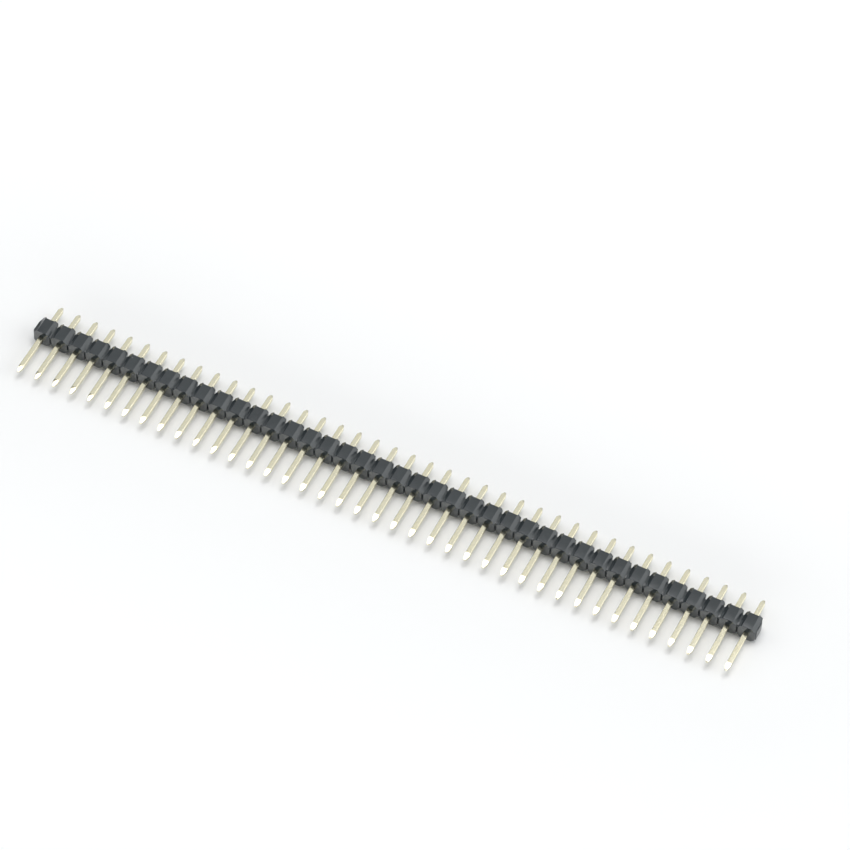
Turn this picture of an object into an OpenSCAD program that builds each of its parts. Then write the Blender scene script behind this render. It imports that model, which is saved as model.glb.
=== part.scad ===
// Breakaway pin header strip: one row of square pins pressed through a notched insulating bar.
//
// The strip lies on its side, the way a loose one comes to rest on a bench.
// X runs along the row and is centred on it. Y runs along the pins: the long contact ends
// point to -Y and the short solder tails to +Y. The housing rests on the plane Z = 0.

/* [Strip] */
// Number of pins in the row
pin_count = 40; // [2:1:50]
// Distance from one pin to the next
pitch = 2.54; // [2.4:0.01:3.96]

/* [Housing] */
// Height of the housing, across the row and the pins
body_h = 2.5; // [2.2:0.05:3.5]
// Depth of the housing, along the pins
body_d = 2.5; // [1.8:0.05:4]
// Length along the row of the neck that joins two units
neck_l = 0.32; // [0.26:0.01:0.4]
// Run and fall of the bevelled flanks on either side of a neck
flank = 0.475; // [0.35:0.005:0.5]
// Break of the four long outer edges
edge_break = 0.04; // [0.02:0.01:0.08]

/* [Board side] */
// Length along the row of each standoff foot
foot_l = 0.45; // [0.3:0.01:0.5]
// Depth of the wash channel between the two feet of a unit
channel_d = 0.18; // [0.1:0.01:0.3]
// Width at its mouth of the breaking recess between two units
recess_w = 0.38; // [0.3:0.02:0.5]
// Depth of the breaking recess
recess_d = 0.6; // [0.4:0.05:0.7]
// Lean of each side wall of the breaking recess
recess_draft = 0.13; // [0:0.01:0.14]

/* [Contact side] */
// Width at its mouth of the breaking groove between two units
groove_w = 0.26; // [0.18:0.02:0.3]
// Depth of the breaking groove
groove_d = 0.25; // [0.15:0.01:0.4]
// Lean of each side wall of the breaking groove
groove_draft = 0.03; // [0:0.01:0.06]

/* [Pins] */
// Width and height of the square pin
pin_w = 0.64; // [0.5:0.01:0.8]
// Break of the pin's four long corners
pin_break = 0.04; // [0.02:0.01:0.06]
// Length of the contact end, from the housing face to the tip
contact_l = 6.1; // [4:0.1:20]
// Length of the solder tail, from the housing face to the tip
tail_l = 3; // [2.4:0.1:6]
// Length of the upper and lower flats that close the contact tip
contact_taper = 1.05; // [0.8:0.05:1.6]
// Length of the side flats that close the contact tip
contact_side_taper = 0.65; // [0.4:0.05:0.8]
// Length of the flats that close the solder tail
tail_taper = 0.55; // [0.3:0.05:0.8]
// Height left at the blunt end of both tips
tip_h = 0.22; // [0.14:0.02:0.3]
// Width left at the blunt end of both tips
tip_w = 0.26; // [0.14:0.02:0.3]

/* [Hidden] */
// Overshoot of a cutter past the faces that it opens
past = 1;

row_l = pin_count * pitch;
pin_l = contact_l + body_d + tail_l;
crest_l = pitch - neck_l - 2 * flank;
channel_l = pitch - recess_w - 2 * foot_l;

// Faces of the housing and the ends of the pins, along Y
board_face_y = pin_l / 2 - tail_l;
contact_face_y = board_face_y - body_d;
pin_axis_z = body_h / 2;

// Centre of unit i, counted from 0 at the -X end
function unit_x(i) = (i - (pin_count - 1) / 2) * pitch;

function pin_name(i) = str("pin_", i < 9 ? "0" : "", i + 1);

// Offsets every point of a list by a distance along each axis
function moved(points, by) = [for (p = points) p + by];

// A list of points from its last to its first
function backwards(points) = [for (k = [len(points) - 1 : -1 : 0]) points[k]];

// The same edge on the opposite side, from its last point to its first
function facing(points) = backwards([for (p = points) [p.x, -p.y]]);

// A half of one unit mirrored into a whole one, then repeated along the row;
// the half runs from the joint to the middle of the unit, with its X from -pitch / 2 to 0
function row_edge(half) =
    let (unit = concat(half, backwards([for (p = half) [-p.x, p.y]])))
    [for (i = [0 : pin_count - 1]) each moved(unit, [unit_x(i), 0])];

// Upper edge of the housing seen along the pins, measured from the crest
crest_edge = concat(
    [[-row_l / 2, -flank]],
    row_edge([[-crest_l / 2 - flank, -flank], [-crest_l / 2, 0]]),
    [[row_l / 2, -flank]]
);

// Board edge seen from above, measured from the feet: recess, foot, channel
board_edge = concat(
    [[-row_l / 2, -recess_d]],
    row_edge([
        [-(pitch - recess_w) / 2 - recess_draft, -recess_d],
        [-(pitch - recess_w) / 2, 0],
        [-channel_l / 2, 0],
        [-channel_l / 2, -channel_d]
    ]),
    [[row_l / 2, -recess_d]]
);

// Contact edge seen from above, measured from the face: only the grooves break it
contact_edge = concat(
    [[-row_l / 2, -groove_d]],
    row_edge([
        [-(pitch - groove_w) / 2 - groove_draft, -groove_d],
        [-(pitch - groove_w) / 2, 0]
    ]),
    [[row_l / 2, -groove_d]]
);

// A square with its four corners cut off at 45 degrees, centred on the origin
module broken_square(size, cut) {
    x = size.x / 2;
    y = size.y / 2;
    polygon([
        [-x + cut, -y], [x - cut, -y], [x, -y + cut], [x, y - cut],
        [x - cut, y], [-x + cut, y], [-x, y - cut], [-x, -y + cut]
    ]);
}

// Stands a profile drawn in X and Z up and extrudes it along Y
module along_y(from, to) {
    translate([0, to, 0])
        rotate([90, 0, 0])
            linear_extrude(to - from)
                children();
}

// Lays a profile drawn in Y and Z along X
module along_x(length) {
    rotate([90, 0, 90])
        linear_extrude(length, center = true)
            children();
}

// The row of units seen along the pins: flat crests, bevelled flanks and thin necks
module row_section() {
    polygon(concat(moved(crest_edge, [0, body_h]), facing(crest_edge)));
}

// The row of units seen from above, with feet on one side and grooves on the other
module row_plan() {
    polygon(concat(
        moved(board_edge, [0, board_face_y]),
        moved(facing(contact_edge), [0, contact_face_y])
    ));
}

module housing() {
    color([0.13, 0.14, 0.15])
    difference() {
        intersection() {
            along_y(contact_face_y, board_face_y)
                row_section();
            linear_extrude(body_h)
                row_plan();
            translate([0, (board_face_y + contact_face_y) / 2, pin_axis_z])
                along_x(row_l)
                    broken_square([body_d, body_h], edge_break);
        }
        for (i = [0 : pin_count - 1])
            translate([unit_x(i), contact_face_y - past, pin_axis_z])
                translate([-pin_w / 2, 0, -pin_w / 2])
                    cube([pin_w, body_d + 2 * past, pin_w]);
    }
}

// Outline of a pin along its length, closed at each end by a pair of flats
module pin_outline(contact_run, tail_run, end) {
    polygon([
        [-end / 2, -pin_l / 2], [end / 2, -pin_l / 2],
        [pin_w / 2, -pin_l / 2 + contact_run], [pin_w / 2, pin_l / 2 - tail_run],
        [end / 2, pin_l / 2], [-end / 2, pin_l / 2],
        [-pin_w / 2, pin_l / 2 - tail_run], [-pin_w / 2, -pin_l / 2 + contact_run]
    ]);
}

// Square wire, coined to a blunt four-sided point at both ends
module pin(i) {
    color([0.84, 0.78, 0.62])
    translate([unit_x(i), 0, pin_axis_z])
        intersection() {
            linear_extrude(pin_w, center = true)
                pin_outline(contact_side_taper, tail_taper, tip_w);
            rotate([0, 90, 0])
                linear_extrude(pin_w, center = true)
                    pin_outline(contact_taper, tail_taper, tip_h);
            along_y(-pin_l / 2, pin_l / 2)
                broken_square([pin_w, pin_w], pin_break);
        }
}

housing();
for (i = [0 : pin_count - 1])
    pin(i);
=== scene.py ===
import math

import bmesh
import bpy
from mathutils import Matrix, Vector


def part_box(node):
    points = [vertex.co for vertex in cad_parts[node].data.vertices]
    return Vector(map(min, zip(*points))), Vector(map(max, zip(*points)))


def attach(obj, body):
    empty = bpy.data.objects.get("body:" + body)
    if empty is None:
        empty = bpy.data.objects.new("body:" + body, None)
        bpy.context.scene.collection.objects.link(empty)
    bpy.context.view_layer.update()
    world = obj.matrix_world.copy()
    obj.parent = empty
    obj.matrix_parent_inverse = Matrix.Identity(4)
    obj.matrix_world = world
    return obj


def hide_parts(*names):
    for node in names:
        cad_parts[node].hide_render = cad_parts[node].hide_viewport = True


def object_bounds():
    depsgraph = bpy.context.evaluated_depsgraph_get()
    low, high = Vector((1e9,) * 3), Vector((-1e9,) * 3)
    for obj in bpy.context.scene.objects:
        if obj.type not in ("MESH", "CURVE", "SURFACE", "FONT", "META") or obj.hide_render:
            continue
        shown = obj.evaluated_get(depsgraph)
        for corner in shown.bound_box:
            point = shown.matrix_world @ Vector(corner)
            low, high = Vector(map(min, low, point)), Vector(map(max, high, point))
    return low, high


bl_info = {
    "name": "Pin Header Strip",
    "version": (1, 0, 0),
    "blender": (4, 5, 0),
    "location": "View3D > Sidebar > Pin Header",
    "description": "Finishes a breakaway pin header strip: moulded housing, plated pins and a studio stage",
    "category": "Add Mesh",
}

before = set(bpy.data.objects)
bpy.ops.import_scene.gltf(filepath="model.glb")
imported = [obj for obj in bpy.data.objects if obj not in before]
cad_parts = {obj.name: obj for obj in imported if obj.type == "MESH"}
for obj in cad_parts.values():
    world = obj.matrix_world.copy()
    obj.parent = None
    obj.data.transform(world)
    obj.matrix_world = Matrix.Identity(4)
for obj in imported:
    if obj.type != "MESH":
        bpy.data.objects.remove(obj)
CAD_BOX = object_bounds()

HOUSING_NODE = "housing"
PIN_NODES = sorted(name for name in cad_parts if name.startswith("pin_"))
BODY = "root"


# ---------------------------------------------------------------- fixed values

# lengths, in metres
SAME_PLACE = 1e-7       # points nearer than this are one point
POLISH_DEPTH = 0.00001  # how far behind the contact face its polish is still full
POLISH_END = 0.00004    # how far behind the contact face its polish has ended
COIN_BLEND = 0.00012    # the stretch of a pin over which its coined finish comes in
TABLE_GAP = 0.00001     # keeps the table clear of the strip
TABLE_REACH = 2.0       # from the middle of the table to its edges

# rounding of a solid's edges
FLAT_ANGLE = math.radians(1)   # faces that meet flatter than this are one face
EDGE_ANGLE = math.radians(8)   # edges that turn more than this are rounded
ROUNDING_STEPS = 3

# patterns: how often they repeat in a metre, and how strongly or how widely they show
FLOW_CLOUDS = {"Frequency": 330.0, "Contrast": 1.7}
HANDLING_MARKS = {"Frequency": 1700.0, "Contrast": 1.5}
HOUSING_DUST = {"Frequency": 2200.0, "Share": 0.05}
DRAWING_STREAKS = {"Frequency": 14000.0, "Contrast": 1.6}
PLATING_PATCHES = {"Frequency": 520.0, "Contrast": 2.2}
COINING_SCUFFS = {"Frequency": 5200.0, "Contrast": 1.8}
PIN_DUST = {"Frequency": 2600.0, "Share": 0.02}
DRAWN_SCALE = (1, 0.05, 1)     # draws the streaks out twentyfold along a pin
CLOUD_LAYERS = 4.0             # finer and finer layers inside the clouds of a mottle
CLOUD_LAYER_SHARE = 0.55       # strength of each layer beside the one before it
LARGEST_SPECK = 0.16           # radius of a speck of dust, as a share of its cell

# finishes
PLASTIC_IOR = 1.62
POLISHED_ROUGHNESS = 0.16
DUST_ON_PLASTIC = (0.22, 0.22, 0.21)
DUST_ON_GOLD = (0.40, 0.38, 0.33)
TABLE_ROUGHNESS = 0.9
TABLE_SPECULAR = 0.1
WHITE = (1, 1, 1)

# stage
ROOM_COLOUR = (0.97, 0.985, 1)
SENSOR_WIDTH = 36              # millimetres, as the lens is
CAMERA_NEAR = 0.01
CAMERA_FAR = 20

# sockets of a Mix node that mixes colours
MIX_FACTOR = 0
MIX_LOW = 6
MIX_HIGH = 7
MIX_RESULT = 2


# ---------------------------------------------------------------- settings

class HousingSettings(bpy.types.PropertyGroup):
    crest_round: bpy.props.FloatProperty(
        name="Crest Round", description="Radius where each flat crest turns down into its flanks",
        default=0.00005, min=0.00002, max=0.00006, precision=6, unit="LENGTH")
    edge_round: bpy.props.FloatProperty(
        name="Edge Round", description="Radius of the other outer edges of the housing",
        default=0.000014, min=0.000005, max=0.00002, precision=6, unit="LENGTH")
    colour: bpy.props.FloatVectorProperty(
        name="Colour", description="Colour of the moulded plastic",
        default=(0.0155, 0.0210, 0.0245), min=0, max=1, subtype="COLOR")
    bloom: bpy.props.FloatVectorProperty(
        name="Bloom", description="Colour of the greyer places where the plastic flowed last",
        default=(0.0250, 0.0325, 0.0365), min=0, max=1, subtype="COLOR")
    polish: bpy.props.FloatProperty(
        name="Contact Face Polish", description="How far the face that the contacts leave from is polished",
        default=0.9, min=0, max=1, subtype="FACTOR")
    gloss_low: bpy.props.FloatProperty(
        name="Glossiest", description="Roughness of the smoothest places",
        default=0.16, min=0, max=1, subtype="FACTOR")
    gloss_high: bpy.props.FloatProperty(
        name="Dullest", description="Roughness of the most matt places",
        default=0.27, min=0, max=1, subtype="FACTOR")
    grain_size: bpy.props.FloatProperty(
        name="Grain Size", description="Size of the spark-eroded grain that the mould leaves",
        default=0.00012, min=0.00002, max=0.001, precision=6, unit="LENGTH")
    grain_depth: bpy.props.FloatProperty(
        name="Grain Depth", description="Depth of the grain",
        default=0.000003, min=0, max=0.00002, precision=7, unit="LENGTH")


class PinSettings(bpy.types.PropertyGroup):
    corner_round: bpy.props.FloatProperty(
        name="Corner Round", description="Radius added where the faces of a pin meet",
        default=0.000014, min=0.000004, max=0.00003, precision=6, unit="LENGTH")
    colour: bpy.props.FloatVectorProperty(
        name="Colour", description="Colour of the thin gold plating",
        default=(0.82, 0.765, 0.565), min=0, max=1, subtype="COLOR")
    worn: bpy.props.FloatVectorProperty(
        name="Pale Plating", description="Colour where the gold is thinnest and the nickel shows through",
        default=(0.80, 0.76, 0.60), min=0, max=1, subtype="COLOR")
    gloss_low: bpy.props.FloatProperty(
        name="Glossiest", description="Roughness of the drawn faces",
        default=0.12, min=0, max=1, subtype="FACTOR")
    gloss_high: bpy.props.FloatProperty(
        name="Dullest", description="Roughness of the drawing marks and the coined ends",
        default=0.22, min=0, max=1, subtype="FACTOR")
    streak_depth: bpy.props.FloatProperty(
        name="Drawing Marks", description="Depth of the marks that the drawing die leaves along a pin",
        default=0.0000006, min=0, max=0.00001, precision=7, unit="LENGTH")


class StageSettings(bpy.types.PropertyGroup):
    azimuth: bpy.props.FloatProperty(
        name="Azimuth", description="Direction of the camera round the strip, from its contact side",
        default=math.radians(25), subtype="ANGLE")
    elevation: bpy.props.FloatProperty(
        name="Elevation", description="Height of the camera above the table",
        default=math.radians(53), subtype="ANGLE")
    roll: bpy.props.FloatProperty(
        name="Roll", description="Turn of the camera about its own line of sight",
        default=math.radians(2.1), subtype="ANGLE")
    distance: bpy.props.FloatProperty(
        name="Distance", description="Distance of the camera from what it looks at",
        default=0.58, min=0.05, max=5, unit="LENGTH")
    lens: bpy.props.FloatProperty(
        name="Lens", description="Focal length of the camera in millimetres",
        default=194, min=20, max=500)
    aim: bpy.props.FloatVectorProperty(
        name="Aim", description="The point that the camera looks at",
        default=(0.00025, 0.01067, 0.00125), subtype="XYZ", unit="LENGTH")
    floor_colour: bpy.props.FloatVectorProperty(
        name="Table", description="Colour of the table",
        default=(0.93, 0.93, 0.93), min=0, max=1, subtype="COLOR")
    fade: bpy.props.FloatProperty(
        name="White Fade", description="Glow that takes the far table up to plain white",
        default=0.05, min=0, max=1)
    fade_start: bpy.props.FloatProperty(
        name="Fade Start", description="Distance from the strip at which the table starts to whiten",
        default=0.012, min=0, max=0.5, unit="LENGTH")
    fade_end: bpy.props.FloatProperty(
        name="Fade End", description="Distance from the strip at which the table is plain white",
        default=0.040, min=0, max=1, unit="LENGTH")
    daylight: bpy.props.FloatProperty(
        name="Room Light", description="Strength of the even light of the room",
        default=0.01, min=0, max=4)


# ---------------------------------------------------------------- materials

def new_finish(name):
    """A new material, with its node tree and its shader."""
    material = bpy.data.materials.new(name)
    material.use_nodes = True
    tree = material.node_tree
    return material, tree, tree.nodes["Principled BSDF"]


def plug(tree, node, socket, value):
    """Links a socket to the node's input, or sets a number or a colour there."""
    target = node.inputs[socket]
    if isinstance(value, bpy.types.NodeSocket):
        tree.links.new(value, target)
    elif hasattr(value, "__len__") and target.type == "RGBA":
        target.default_value = (*value[:3], 1)
    else:
        target.default_value = value


def add_node(tree, kind, **inputs):
    """Adds a node, and sets or links each input that is named."""
    node = tree.nodes.new(kind)
    for name, value in inputs.items():
        plug(tree, node, name.replace("_", " "), value)
    return node


def object_position(tree):
    """The place of the shaded point, in metres from the origin of the strip."""
    return add_node(tree, "ShaderNodeTexCoord").outputs["Object"]


def split_axes(tree, position):
    """The X, Y and Z of a position, as the outputs of one node."""
    return add_node(tree, "ShaderNodeSeparateXYZ", Vector=position).outputs


def blend_colour(tree, factor, low, high):
    """Goes from the colour low to the colour high as factor goes from 0 to 1."""
    node = tree.nodes.new("ShaderNodeMix")
    node.data_type = "RGBA"
    plug(tree, node, MIX_FACTOR, factor)
    plug(tree, node, MIX_LOW, low)
    plug(tree, node, MIX_HIGH, high)
    return node.outputs[MIX_RESULT]


def ranged(tree, value, start, end, at_start, at_end):
    """Goes from at_start to at_end as value goes from start to end, and holds at either end."""
    node = add_node(tree, "ShaderNodeMapRange", Value=value, From_Min=start, From_Max=end,
                    To_Min=at_start, To_Max=at_end)
    return node.outputs["Result"]


def calculated(tree, operation, *values, clamp=False):
    """The result of one Math node; each value is a number or a socket."""
    node = tree.nodes.new("ShaderNodeMath")
    node.operation = operation
    node.use_clamp = clamp
    for index, value in enumerate(values):
        plug(tree, node, index, value)
    return node.outputs[0]


def squared(tree, value):
    """The square of a socket's value."""
    return calculated(tree, "MULTIPLY", value, value)


def relief(tree, height, depth):
    """The surface's normal, turned as a relief of that depth turns it."""
    return add_node(tree, "ShaderNodeBump", Height=height, Distance=depth).outputs["Normal"]


def effect_group(name, **inputs):
    """A node group with these inputs and a mask; returns it with its input and output nodes."""
    group = bpy.data.node_groups.new(name, "ShaderNodeTree")
    for label, kind in inputs.items():
        group.interface.new_socket(label, in_out="INPUT", socket_type=kind)
    group.interface.new_socket("Mask", in_out="OUTPUT", socket_type="NodeSocketFloat")
    return group, group.nodes.new("NodeGroupInput"), group.nodes.new("NodeGroupOutput")


def mottle_group(name):
    """Clouds from 0 to 1 with finer layers inside them; Contrast spreads them about the middle."""
    group, source, result = effect_group(name, Position="NodeSocketVector",
                                         Frequency="NodeSocketFloat", Contrast="NodeSocketFloat")
    middle = 0.5
    noise = add_node(group, "ShaderNodeTexNoise", Vector=source.outputs["Position"],
                     Scale=source.outputs["Frequency"], Detail=CLOUD_LAYERS, Roughness=CLOUD_LAYER_SHARE)
    centred = calculated(group, "SUBTRACT", noise.outputs["Fac"], middle)
    spread = calculated(group, "MULTIPLY_ADD", centred, source.outputs["Contrast"], middle, clamp=True)
    plug(group, result, "Mask", spread)
    return group


def specks_group(name):
    """Sparse round specks of dust; Share is the part of the cells that hold one."""
    group, source, result = effect_group(name, Position="NodeSocketVector",
                                         Frequency="NodeSocketFloat", Share="NodeSocketFloat")
    cells = add_node(group, "ShaderNodeTexVoronoi", Vector=source.outputs["Position"],
                     Scale=source.outputs["Frequency"])
    chance = add_node(group, "ShaderNodeSeparateColor", Color=cells.outputs["Color"])
    picked = calculated(group, "LESS_THAN", chance.outputs["Red"], source.outputs["Share"])
    radius = calculated(group, "MULTIPLY", chance.outputs["Green"], LARGEST_SPECK)
    inside = calculated(group, "LESS_THAN", cells.outputs["Distance"], radius)
    plug(group, result, "Mask", calculated(group, "MULTIPLY", picked, inside))
    return group


def placed(tree, name, maker, **inputs):
    """Places the node group of that name, made on its first use, and returns its mask."""
    node = tree.nodes.new("ShaderNodeGroup")
    node.node_tree = bpy.data.node_groups.get(name) or maker(name)
    for label, value in inputs.items():
        plug(tree, node, label, value)
    return node.outputs["Mask"]


def mottle(tree, position, **inputs):
    """The mask of a mottle over the surface."""
    return placed(tree, "Mottle", mottle_group, Position=position, **inputs)


def specks(tree, position, **inputs):
    """The mask of specks of dust over the surface."""
    return placed(tree, "Dust Specks", specks_group, Position=position, **inputs)


def moulded_plastic(settings, contact_face):
    """Satin black nylon with a fine mould grain, faint flow clouds and a little dust.

    The face that the contacts leave from, at contact_face along Y, is shinier than the rest:
    it lay against the polished plate of the mould that held the core pins."""
    material, tree, shader = new_finish("Moulded Black Nylon")
    position = object_position(tree)
    clouds = mottle(tree, position, **FLOW_CLOUDS)
    handling = mottle(tree, position, **HANDLING_MARKS)
    dust = specks(tree, position, **HOUSING_DUST)
    grain = mottle(tree, position, Frequency=1 / settings.grain_size, Contrast=1.0)

    body = blend_colour(tree, clouds, settings.colour, settings.bloom)
    plug(tree, shader, "Base Color", blend_colour(tree, dust, body, DUST_ON_PLASTIC))
    plug(tree, shader, "Roughness",
         ranged(tree, handling, 0.0, 1.0, settings.gloss_low, settings.gloss_high))
    plug(tree, shader, "Normal", relief(tree, grain, settings.grain_depth))
    plug(tree, shader, "IOR", PLASTIC_IOR)

    # full on the contact face and nothing behind it
    polished = ranged(tree, split_axes(tree, position)["Y"], contact_face + POLISH_END,
                      contact_face + POLISH_DEPTH, 0.0, settings.polish)
    plug(tree, shader, "Coat Weight", polished)
    plug(tree, shader, "Coat Roughness", POLISHED_ROUGHNESS)
    return material


def gold_flash(settings, straight):
    """Thin gold over nickel: drawing marks along the pin, paler and duller coined ends.

    The straight of the pin lies between the two places along Y in straight."""
    material, tree, shader = new_finish("Gold Flash Plating")
    position = object_position(tree)
    drawn = add_node(tree, "ShaderNodeMapping", Vector=position, Scale=DRAWN_SCALE).outputs["Vector"]
    streaks = mottle(tree, drawn, **DRAWING_STREAKS)
    patches = mottle(tree, position, **PLATING_PATCHES)
    scuffs = mottle(tree, position, **COINING_SCUFFS)
    dust = specks(tree, position, **PIN_DUST)

    # 0 on the straight of the pin and 1 on the coined flats at either end
    along = split_axes(tree, position)["Y"]
    front, back = straight
    contact_end = ranged(tree, along, front, front - COIN_BLEND, 0.0, 1.0)
    tail_end = ranged(tree, along, back, back + COIN_BLEND, 0.0, 1.0)
    coined = calculated(tree, "MAXIMUM", contact_end, tail_end)

    plating = blend_colour(tree, patches, settings.colour, settings.worn)
    ends = blend_colour(tree, coined, plating, settings.worn)
    plug(tree, shader, "Base Color", blend_colour(tree, dust, ends, DUST_ON_GOLD))
    marks = blend_colour(tree, coined, streaks, scuffs)
    height = add_node(tree, "ShaderNodeRGBToBW", Color=marks).outputs["Val"]
    plug(tree, shader, "Roughness",
         ranged(tree, height, 0.0, 1.0, settings.gloss_low, settings.gloss_high))
    plug(tree, shader, "Normal", relief(tree, height, settings.streak_depth))
    plug(tree, shader, "Metallic", 1.0)
    return material


def table_top(settings):
    """Matt pale table that keeps the strip's shadow and fades to plain white away from it."""
    material, tree, shader = new_finish("Pale Table")
    plug(tree, shader, "Base Color", settings.floor_colour)
    plug(tree, shader, "Roughness", TABLE_ROUGHNESS)
    plug(tree, shader, "Specular IOR Level", TABLE_SPECULAR)

    # distance from the middle line of the strip, which ends at half_row either way
    half_row = CAD_BOX[1].x
    place = split_axes(tree, object_position(tree))
    beyond = calculated(tree, "SUBTRACT", calculated(tree, "ABSOLUTE", place["X"]), half_row)
    past_end = calculated(tree, "MAXIMUM", beyond, 0.0)
    away = calculated(tree, "SQRT", calculated(
        tree, "ADD", squared(tree, past_end), squared(tree, place["Y"])))
    whiteness = ranged(tree, away, settings.fade_start, settings.fade_end, 0.0, settings.fade)

    # the glow shows to the camera and in reflections, and lights nothing
    path = add_node(tree, "ShaderNodeLightPath")
    seen = calculated(tree, "MAXIMUM", path.outputs["Is Camera Ray"], path.outputs["Is Glossy Ray"])
    plug(tree, shader, "Emission Color", WHITE)
    plug(tree, shader, "Emission Strength", calculated(tree, "MULTIPLY", seen, whiteness))
    return material


# ---------------------------------------------------------------- pieces

def rounded_copy(node, name, radius, broad_radius=None, is_broad=None):
    """A copy of a CAD node's solid, as a new object at the origin, with its outer edges rounded.

    The copy's loose triangles are merged into flat faces first, so that only true edges are
    rounded. The edges that is_broad() picks get broad_radius, and the others get radius."""
    largest = broad_radius or radius
    bm = bmesh.new()
    bm.from_mesh(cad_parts[node].data)
    bmesh.ops.remove_doubles(bm, verts=bm.verts, dist=SAME_PLACE)
    bmesh.ops.dissolve_limit(bm, angle_limit=FLAT_ANGLE, use_dissolve_boundaries=False,
                             verts=bm.verts, edges=bm.edges)
    weight = bm.edges.layers.float.new("bevel_weight_edge")
    for edge in bm.edges:
        if edge.is_convex and edge.calc_face_angle(0) > EDGE_ANGLE:
            wanted = broad_radius if is_broad and is_broad(edge) else radius
            edge[weight] = wanted / largest
    for face in bm.faces:
        face.smooth = True
    mesh = bpy.data.meshes.new(name)
    bm.to_mesh(mesh)
    bm.free()
    piece = bpy.data.objects.new(name, mesh)
    bpy.context.scene.collection.objects.link(piece)
    rounding = piece.modifiers.new("Edge Rounding", "BEVEL")
    rounding.limit_method = "WEIGHT"
    rounding.width = largest
    rounding.segments = ROUNDING_STEPS
    rounding.harden_normals = True
    return piece


def beside_crest(edge):
    """True for the long edges where a flat crest turns down into its bevelled flank."""
    low, high = CAD_BOX
    one, two = (vertex.co for vertex in edge.verts)
    on_crest = min(abs(one.z - low.z), abs(one.z - high.z)) < SAME_PLACE
    level = abs(one.z - two.z) < SAME_PLACE
    straight_back = abs(one.x - two.x) < SAME_PLACE
    inside_row = abs(one.x) < high.x - SAME_PLACE
    return on_crest and level and straight_back and inside_row


def straight_run(node):
    """Where the straight of a pin begins and ends along Y, between its coined ends."""
    low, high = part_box(node)
    half = (high.x - low.x) / 2
    middle = (low.x + high.x) / 2
    full = [vertex.co.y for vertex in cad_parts[node].data.vertices
            if abs(abs(vertex.co.x - middle) - half) < SAME_PLACE]
    return min(full), max(full)


def direction(azimuth, elevation):
    """The way from the strip to a lamp or camera.

    Seen from above, azimuth turns anticlockwise from the contact side. Both are in radians."""
    return Vector((math.sin(azimuth) * math.cos(elevation),
                   -math.cos(azimuth) * math.cos(elevation),
                   math.sin(elevation)))


# ---------------------------------------------------------------- operators

class PINHEADER_OT_housing(bpy.types.Operator):
    """Model the moulded housing with rounded edges and give it its plastic"""
    bl_idname = "pinheader.housing"
    bl_label = "Housing"
    bl_options = {"REGISTER", "UNDO"}

    def execute(self, context):
        settings = context.scene.pin_header_housing
        piece = rounded_copy(HOUSING_NODE, "moulded_housing", settings.edge_round,
                             settings.crest_round, beside_crest)
        contact_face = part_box(HOUSING_NODE)[0].y
        piece.data.materials.append(moulded_plastic(settings, contact_face))
        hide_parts(HOUSING_NODE)
        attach(piece, BODY)
        return {"FINISHED"}


class PINHEADER_OT_pins(bpy.types.Operator):
    """Model each square pin with rounded corners and coined ends, and plate it"""
    bl_idname = "pinheader.pins"
    bl_label = "Pins"
    bl_options = {"REGISTER", "UNDO"}

    def execute(self, context):
        settings = context.scene.pin_header_pins
        plating = gold_flash(settings, straight_run(PIN_NODES[0]))
        for node in PIN_NODES:
            piece = rounded_copy(node, node.replace("pin", "plated_pin"), settings.corner_round)
            piece.data.materials.append(plating)
            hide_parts(node)
            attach(piece, BODY)
        return {"FINISHED"}


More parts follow.
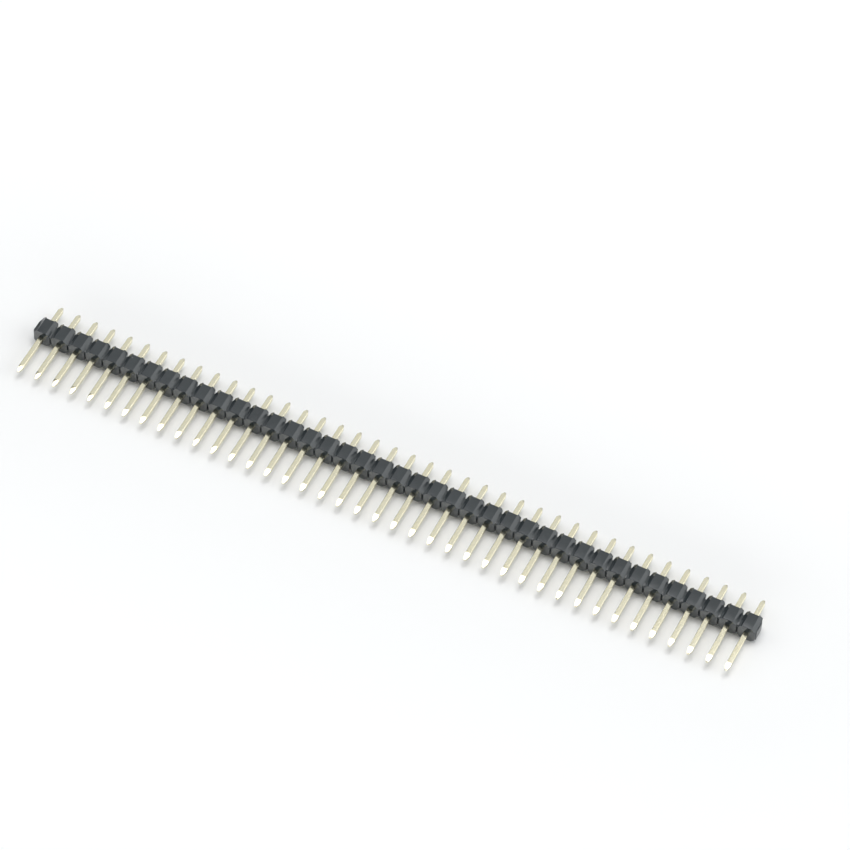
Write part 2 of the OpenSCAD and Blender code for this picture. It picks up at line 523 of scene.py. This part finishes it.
class PINHEADER_OT_stage(bpy.types.Operator):
    """Set the table, the soft lamps and the camera round the strip"""
    bl_idname = "pinheader.stage"
    bl_label = "Stage"
    bl_options = {"REGISTER", "UNDO"}

    def execute(self, context):
        settings = context.scene.pin_header_stage
        self.table(context, settings)
        self.light(context, settings)
        self.camera(context, settings)
        context.scene.view_settings.view_transform = "Standard"
        return {"FINISHED"}

    def table(self, context, settings):
        bm = bmesh.new()
        bmesh.ops.create_grid(bm, x_segments=1, y_segments=1, size=TABLE_REACH)
        mesh = bpy.data.meshes.new("table")
        bm.to_mesh(mesh)
        bm.free()
        table = bpy.data.objects.new("table", mesh)
        table.location.z = CAD_BOX[0].z - TABLE_GAP
        mesh.materials.append(table_top(settings))
        context.scene.collection.objects.link(table)

    def light(self, context, settings):
        world = bpy.data.worlds.new("Room")
        context.scene.world = world
        world.use_nodes = True
        sky = world.node_tree.nodes["Background"]
        sky.inputs["Color"].default_value = (*ROOM_COLOUR, 1)
        sky.inputs["Strength"].default_value = settings.daylight
        self.lamp(context, "right_softbox", azimuth=150, elevation=70, distance=1.2,
                  size=(0.70, 0.36), radiance=6.2, colour=(0.99, 0.995, 1))
        self.lamp(context, "left_softbox", azimuth=-120, elevation=77, distance=1.2,
                  size=(0.66, 0.44), radiance=4.0, colour=WHITE)
        self.lamp(context, "back_panel", azimuth=-164, elevation=32, distance=1.3,
                  size=(1.2, 1.42), radiance=0.79, colour=(0.98, 1, 1))
        self.lamp(context, "right_window", azimuth=108, elevation=26, distance=1.2,
                  size=(1.28, 1.0), radiance=2.1, colour=(0.97, 0.995, 1))
        self.lamp(context, "left_window", azimuth=-85, elevation=30, distance=1.2,
                  size=(1.28, 1.0), radiance=1.05, colour=(0.97, 0.995, 1))
        self.lamp(context, "front_panel", azimuth=20, elevation=26, distance=1.2,
                  size=(1.6, 0.45), radiance=0.4, colour=(0.98, 0.99, 1))
        self.lamp(context, "low_front_window", azimuth=-2, elevation=9, distance=1.2,
                  size=(2.4, 0.36), radiance=4.5, colour=(0.97, 0.985, 1))

    def lamp(self, context, name, azimuth, elevation, distance, size, radiance, colour):
        """A soft lamp turned to the middle of the strip, as bright to look at whatever its size."""
        width, height = size
        data = bpy.data.lights.new(name, "AREA")
        data.shape = "RECTANGLE"
        data.size = width
        data.size_y = height
        data.energy = radiance * width * height * math.pi
        data.color = colour
        lamp = bpy.data.objects.new(name, data)
        way = direction(math.radians(azimuth), math.radians(elevation))
        lamp.location = way * distance
        lamp.rotation_euler = way.to_track_quat("Z", "Y").to_euler()
        context.scene.collection.objects.link(lamp)

    def camera(self, context, settings):
        data = bpy.data.cameras.new("camera")
        data.lens = settings.lens
        data.sensor_width = SENSOR_WIDTH
        data.clip_start = CAMERA_NEAR
        data.clip_end = CAMERA_FAR
        camera = bpy.data.objects.new("camera", data)
        context.scene.collection.objects.link(camera)
        away = direction(settings.azimuth, settings.elevation)
        aim = Vector(settings.aim)
        turn = away.to_track_quat("Z", "Y").to_matrix().to_4x4()
        camera.matrix_world = (Matrix.Translation(aim + away * settings.distance)
                               @ turn @ Matrix.Rotation(settings.roll, 4, "Z"))
        context.scene.camera = camera


class PINHEADER_PT_panel(bpy.types.Panel):
    """Lists the steps that finish the strip, with their settings"""
    bl_idname = "PINHEADER_PT_panel"
    bl_label = "Pin Header"
    bl_space_type = "VIEW_3D"
    bl_region_type = "UI"
    bl_category = "Pin Header"

    def draw(self, context):
        scene = context.scene
        for operator, settings in ((PINHEADER_OT_housing, scene.pin_header_housing),
                                   (PINHEADER_OT_pins, scene.pin_header_pins),
                                   (PINHEADER_OT_stage, scene.pin_header_stage)):
            box = self.layout.box()
            box.operator(operator.bl_idname)
            for name in settings.__annotations__:
                box.prop(settings, name)


CLASSES = (HousingSettings, PinSettings, StageSettings, PINHEADER_OT_housing, PINHEADER_OT_pins,
           PINHEADER_OT_stage, PINHEADER_PT_panel)


def register():
    for cls in CLASSES:
        bpy.utils.register_class(cls)
    bpy.types.Scene.pin_header_housing = bpy.props.PointerProperty(type=HousingSettings)
    bpy.types.Scene.pin_header_pins = bpy.props.PointerProperty(type=PinSettings)
    bpy.types.Scene.pin_header_stage = bpy.props.PointerProperty(type=StageSettings)


def unregister():
    del bpy.types.Scene.pin_header_housing
    del bpy.types.Scene.pin_header_pins
    del bpy.types.Scene.pin_header_stage
    for cls in reversed(CLASSES):
        bpy.utils.unregister_class(cls)


def main():
    register()
    bpy.ops.pinheader.housing()
    bpy.ops.pinheader.pins()
    bpy.ops.pinheader.stage()


if __name__ == "__main__":
    main()
